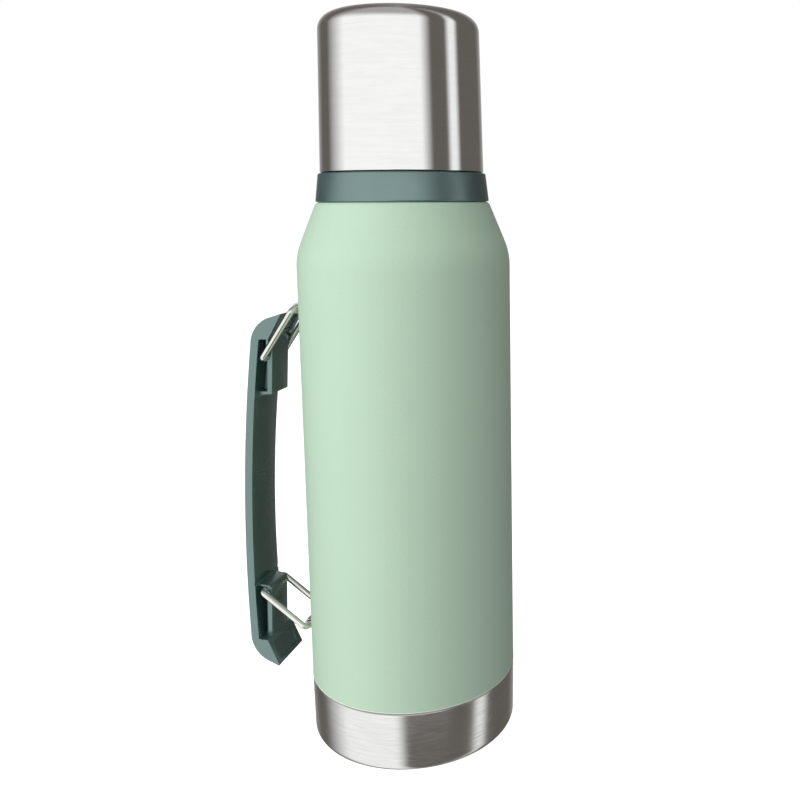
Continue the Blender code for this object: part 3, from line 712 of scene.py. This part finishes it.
def strap_curve(offset, low_w, high_w, steps):
    """Part of the strap's inner face, from high_w down to low_w."""
    low, high = (math.degrees(math.asin(w / CROWN_R)) for w in (low_w, high_w))
    return arc((CROWN_U - CROWN_R, 0.0), CROWN_R - STRAP_T - offset, high, low, steps)


def grip_side_cutters(side, place):
    """Cutters that shape one side of the grip: its waist, its narrow blocks and their pockets."""
    along_u = Matrix(((0.0, 0.0, 1.0, 0.0), (1.0, 0.0, 0.0, 0.0), (0.0, 1.0, 0.0, 0.0),
                      (0.0, 0.0, 0.0, 1.0)))
    waist = [(w, side * (WAIST_HALF_T + (GRIP_HALF_T - WAIST_HALF_T) * (w / CAP_W) ** 2))
             for w in WAIST_W]
    waist += [(WAIST_W[-1], side * CUT_END_T), (WAIST_W[0], side * CUT_END_T)]
    cutters = [prism("waist", waist, CUT_END_T, place @ along_u)]

    # Under the upper cap the cut leaves a thin web, so its edge slopes with the wire beside it.
    web_edge = ((CUT_END_U, WEB_W + WEB_RISE), (WEB_U, WEB_W), (WEB_U, CAP_W))
    shift = Matrix.Translation(Vector((0.0, 0.0, side * (BLOCK_HALF_T + CUT_END_T) * 0.5 * MM)))
    for (low, high), end in ((UPPER_SHOULDER_W, web_edge),
                             (LOWER_SHOULDER_W, ((CUT_END_U, LOWER_SHOULDER_W[1]),))):
        outline = strap_curve(SHOULDER_INSET, low, high, 12) + [(CUT_END_U, low)] + list(end)
        cutters.append(prism("shoulder", outline, (CUT_END_T - BLOCK_HALF_T) * 0.5, place @ shift))

    shift = Matrix.Translation(Vector((0.0, 0.0, side * (SLOT_FLOOR_T + CUT_END_T) * 0.5 * MM)))
    for low, high in (UPPER_SLOT_W, LOWER_SLOT_W):
        outline = strap_curve(POCKET_INSET, low, high, 10) + [(SLOT_U, low), (SLOT_U, high)]
        cutters.append(prism("pocket", outline, (CUT_END_T - SLOT_FLOOR_T) * 0.5, place @ shift))
    return cutters


def cap_panel(end, place):
    """Shallow sunk panel in the flared inner face of one cap."""
    start = Vector((BLOCK_U - 0.3, CAP_W))
    run = Vector((TIP_U, TIP_W)) - start
    out = Vector((-run.y, run.x)).normalized()
    near, far = (start + run * share for share in PANEL_SPAN)
    corners = [near + out * 1.0, far + out * 1.0, far - out * PANEL_DEPTH, near - out * PANEL_DEPTH]
    return prism("panel", [(c.x, end * c.y) for c in corners], PANEL_HALF_T, place)


def build_grip():
    """Bowed strap with a pocketed block and a full-width cap near each end."""
    place = grip_matrix()
    grip = prism("grip", grip_outline(), GRIP_HALF_T, place)
    cutters = grip_side_cutters(1.0, place) + grip_side_cutters(-1.0, place)
    cutters += [cap_panel(1.0, place), cap_panel(-1.0, place)]
    subtract(grip, cutters)
    bevel(grip, 0.35)
    return finish_piece(grip, "dark_green_plastic", "grip", ["handle_grip"], 25.0)


def build_bail(name, hinge_z, pin_w, source, body):
    pin_r, pin_z = grip_point(PIN_U, pin_w)
    corners = [(-pin_r, -PIN_END_T, pin_z), (-pin_r, -LEG_T, pin_z), (-HINGE_R, -LEG_T, hinge_z),
               (-HINGE_R, LEG_T, hinge_z), (-pin_r, LEG_T, pin_z), (-pin_r, PIN_END_T, pin_z)]
    path = rounded_path(corners, (PIN_BEND, HINGE_BEND, HINGE_BEND, PIN_BEND), 12)
    curve = bpy.data.curves.new(name, "CURVE")
    curve.dimensions = "3D"
    curve.bevel_depth = WIRE_R * MM
    curve.bevel_resolution = 8
    curve.use_fill_caps = True
    spline = curve.splines.new("POLY")
    spline.points.add(len(path) - 1)
    for point, p in zip(spline.points, path):
        point.co = (p.x * MM, p.y * MM, p.z * MM, 1.0)
    holder = bpy.data.objects.new(name + "_path", curve)
    bpy.context.scene.collection.objects.link(holder)
    depsgraph = bpy.context.evaluated_depsgraph_get()
    mesh = bpy.data.meshes.new_from_object(holder.evaluated_get(depsgraph))
    bm = bmesh.new()
    bm.from_mesh(mesh)
    bmesh.ops.remove_doubles(bm, verts=bm.verts, dist=MERGE)
    bmesh.ops.recalc_face_normals(bm, faces=bm.faces)
    bpy.data.objects.remove(holder, do_unlink=True)
    obj = mesh_object(name, bm)
    return finish_piece(obj, "bright_wire", body, [source], 60.0)


def build_bracket(name, hinge_z, source):
    """Pressed saddle: flat plate with rounded ends and a barrel over the bail's cross-bar."""
    columns = Matrix(((-1.0, 0.0, 0.0), (0.0, 0.0, 1.0), (0.0, 1.0, 0.0)))
    place = Matrix.Translation(Vector((-HINGE_R * MM, 0.0, hinge_z * MM))) @ columns.to_4x4()
    plate_in = body_r + 0.4 - HINGE_R
    plate_out = plate_in + 1.0
    plate_half = 7.2
    hump_r = WIRE_R + 1.15
    bore_r = WIRE_R + 0.27
    saddle_half_t = 6.5
    outline = [(plate_in, -plate_half, 0.2), (plate_out, -plate_half, 0.2),
               (plate_out, -hump_r - 0.8, 0.6)]
    outline += arc((0.0, 0.0), hump_r, -100.0, 100.0, 24)
    outline += [(plate_out, hump_r + 0.8, 0.6), (plate_out, plate_half, 0.2),
                (plate_in, plate_half, 0.2)]
    obj = prism(name, fillet(outline, steps=3), saddle_half_t, place)
    bore = prism("bore", arc((0.0, 0.0), bore_r, 0.0, 352.5, 47), saddle_half_t + 1.5, place)
    subtract(obj, [bore])
    bevel(obj, 0.25)
    return finish_piece(obj, "plain_steel", "bottle", [source])


# ------------------------------------------------------------------ hidden pieces keep their solids

def dress_hidden_nodes():
    looks = {"outer_bottom": "plain_steel", "liner_bottom": "plain_steel", "getter": "plain_steel",
             "vacuum_seal": "seal_glass", "radiation_foil": "copper_foil", "stopper_foam": "white_foam"}
    for name, look in looks.items():
        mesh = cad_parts[name].data
        mesh.materials.clear()
        mesh.materials.append(LOOKS[look])


# ------------------------------------------------------------------ stage

CAMERA_AT = (140.14, -410.22, 258.53)
CAMERA_TURN = math.radians(10.242)
CAMERA_DIP = 0.13707
CAMERA_ROLL = -0.00429
CAMERA_LENS = 40.396
CAMERA_SHIFT = (-0.17656, -0.09260)
VIEW_AZIMUTH = math.atan2(CAMERA_AT[0], -CAMERA_AT[1])


def build_camera():
    heading = Vector((-math.sin(CAMERA_TURN), math.cos(CAMERA_TURN), 0.0))
    side = Vector((math.cos(CAMERA_TURN), math.sin(CAMERA_TURN), 0.0))
    up = Vector((0.0, 0.0, 1.0))
    forward = heading * math.cos(CAMERA_DIP) - up * math.sin(CAMERA_DIP)
    lift = heading * math.sin(CAMERA_DIP) + up * math.cos(CAMERA_DIP)
    x_axis = side * math.cos(CAMERA_ROLL) + lift * math.sin(CAMERA_ROLL)
    y_axis = lift * math.cos(CAMERA_ROLL) - side * math.sin(CAMERA_ROLL)
    data = bpy.data.cameras.new("camera")
    data.lens = CAMERA_LENS
    data.sensor_width = 36.0
    data.shift_x, data.shift_y = CAMERA_SHIFT
    data.clip_start = 0.01
    data.clip_end = 20.0
    camera = bpy.data.objects.new("camera", data)
    rotation = Matrix((x_axis, y_axis, -forward)).transposed()
    camera.matrix_world = Matrix.Translation(Vector(CAMERA_AT) * MM) @ rotation.to_4x4()
    bpy.context.scene.collection.objects.link(camera)
    bpy.context.scene.camera = camera


FLOOR_GLOW = 0.8


def build_floor():
    """Pale floor that glows a little for the camera and neither shows in the flask nor lights it."""
    bm = bmesh.new()
    bmesh.ops.create_grid(bm, x_segments=1, y_segments=1, size=6.0)
    floor = mesh_object("floor", bm)
    mat, tree, shader = new_material("pale_floor", (0.93, 0.93, 0.93), 0.9)
    link(tree, spread(tree, noise(tree, object_position(tree), 40.0), 0.85, 0.95),
         shader.inputs["Roughness"])
    shader.inputs["Specular IOR Level"].default_value = 0.0
    shader.inputs["Emission Color"].default_value = (1.0, 1.0, 1.0, 1.0)
    shader.inputs["Emission Strength"].default_value = FLOOR_GLOW
    floor.data.materials.append(mat)
    floor.visible_glossy = False
    floor.visible_diffuse = False


# Studio light as (degrees round from the camera's side, brightness): a tall soft box on the left, a
# second one in front that ends above the floor, a narrow strip on the right and a glow behind.
# FRONT_BOX_FOOT and BOX_TOP run over height instead, from 0 straight down to 1 straight up.
LEFT_BOX = ((-120, 0.0), (-84, 1.0), (-22, 1.0), (-10, 0.0))
FRONT_BOX = ((-22, 0.0), (-10, 1.0), (28, 1.0), (44, 0.0))
SIDE_STRIP = ((66, 0.0), (74, 0.9), (82, 0.9), (90, 0.0))
BACK_GLOW = ((-180, 0.5), (-140, 0.0), (140, 0.0), (180, 0.5))
FRONT_BOX_FOOT = ((0.34, 0.0), (0.42, 1.0))
BOX_TOP = ((0.68, 1.0), (0.85, 0.3))
BOX_COLOUR = (1.05, 1.05, 1.05)
ROOM_COLOUR = (0.13, 0.12, 0.11)


def level_ramp(tree, value, stops):
    """Ramp over 0..1 whose stops are (position, brightness)."""
    made = node(tree, "ShaderNodeValToRGB")
    link(tree, value, made.inputs[0])
    elements = made.color_ramp.elements
    while len(elements) > 1:
        elements.remove(elements[-1])
    for k, (position, level) in enumerate(stops):
        element = elements[0] if k == 0 else elements.new(position)
        element.position = position
        element.color = (level, level, level, 1.0)
    return made.outputs[0]


def build_world():
    """Soft boxes in a dim room, the same for every surface, before a white backdrop."""
    world = bpy.data.worlds.new("studio")
    world.use_nodes = True
    bpy.context.scene.world = world
    tree = world.node_tree
    background = tree.nodes["Background"]
    where = node(tree, "ShaderNodeSeparateXYZ")
    link(tree, node(tree, "ShaderNodeTexCoord").outputs["Generated"], where.inputs[0])
    c, s = math.cos(VIEW_AZIMUTH), math.sin(VIEW_AZIMUTH)
    x, y, z = (where.outputs[k] for k in "XYZ")
    side = math_node(tree, "ADD", math_node(tree, "MULTIPLY", x, c), math_node(tree, "MULTIPLY", y, s))
    front = math_node(tree, "SUBTRACT", math_node(tree, "MULTIPLY", x, s),
                      math_node(tree, "MULTIPLY", y, c))
    angle = math_node(tree, "ARCTAN2", side, front)
    share = math_node(tree, "ADD", math_node(tree, "DIVIDE", angle, 2.0 * math.pi), 0.5)
    height = math_node(tree, "ADD", math_node(tree, "MULTIPLY", z, 0.5), 0.5)
    left, front_box, strip, glow = (
        level_ramp(tree, share, [(degrees / 360.0 + 0.5, level) for degrees, level in stops])
        for stops in (LEFT_BOX, FRONT_BOX, SIDE_STRIP, BACK_GLOW))
    raised = math_node(tree, "MULTIPLY", front_box, level_ramp(tree, height, FRONT_BOX_FOOT))
    boxes = math_node(tree, "ADD", math_node(tree, "ADD", left, raised),
                      math_node(tree, "ADD", strip, glow))
    boxes = math_node(tree, "MULTIPLY", boxes, level_ramp(tree, height, BOX_TOP))
    lit = mix_colours(tree, boxes, ROOM_COLOUR, BOX_COLOUR)
    path = node(tree, "ShaderNodeLightPath")
    link(tree, mix_colours(tree, path.outputs["Is Camera Ray"], lit, (1.0, 1.0, 1.0)),
         background.inputs["Color"])
    background.inputs["Strength"].default_value = 1.0


def add_area(name, azimuth, elevation, distance, size, energy, colour=(1.0, 1.0, 1.0)):
    """Soft lamp aimed at the flask's middle and hidden from reflections; azimuth 0 is the -Y side."""
    target = Vector((0.0, 0.0, 0.17))
    a, e = math.radians(azimuth), math.radians(elevation)
    back = Vector((math.sin(a) * math.cos(e), -math.cos(a) * math.cos(e), math.sin(e)))
    data = bpy.data.lights.new(name, "AREA")
    data.shape = "DISK"
    data.size = size
    data.energy = energy
    data.color = colour
    light = bpy.data.objects.new(name, data)
    light.location = target + back * distance
    light.rotation_euler = back.to_track_quat("Z", "Y").to_euler()
    light.visible_glossy = False
    bpy.context.scene.collection.objects.link(light)


def main():
    bpy.context.scene.view_settings.view_transform = "Standard"
    build_camera()
    build_floor()
    build_world()
    add_area("key", azimuth=-35.0, elevation=30.0, distance=1.6, size=1.2, energy=12.0,
             colour=(1.0, 0.99, 0.97))
    add_area("overhead", azimuth=0.0, elevation=88.0, distance=2.4, size=3.0, energy=10.0)
    build_outer_shell()
    build_paint_edge()
    build_base()
    build_liner()
    build_collar()
    build_cup()
    build_ring("cup_ring", "cup_thread_ring", "stopper_plastic", "cup",
               CUP_RING_BORE_R)
    build_ring("cup_seal", "cup_gasket", "silicone", "cup_gasket", CUP_SEAL_BORE_R)
    build_stopper_body()
    build_knob()
    build_ring("stopper_seal", "stopper_gasket", "silicone", "stopper_gasket",
               STOPPER_SEAL_BORE_R)
    build_seal_ring()
    build_grip()
    build_bail("upper_wire", UPPER_HINGE_Z, UPPER_PIN_W, "upper_bail", "upper_bail")
    build_bail("lower_wire", LOWER_HINGE_Z, LOWER_PIN_W, "lower_bail", "lower_bail")
    build_bracket("upper_saddle", UPPER_HINGE_Z, "upper_bracket")
    build_bracket("lower_saddle", LOWER_HINGE_Z, "lower_bracket")
    dress_hidden_nodes()


main()
bpy.context.view_layer.update()
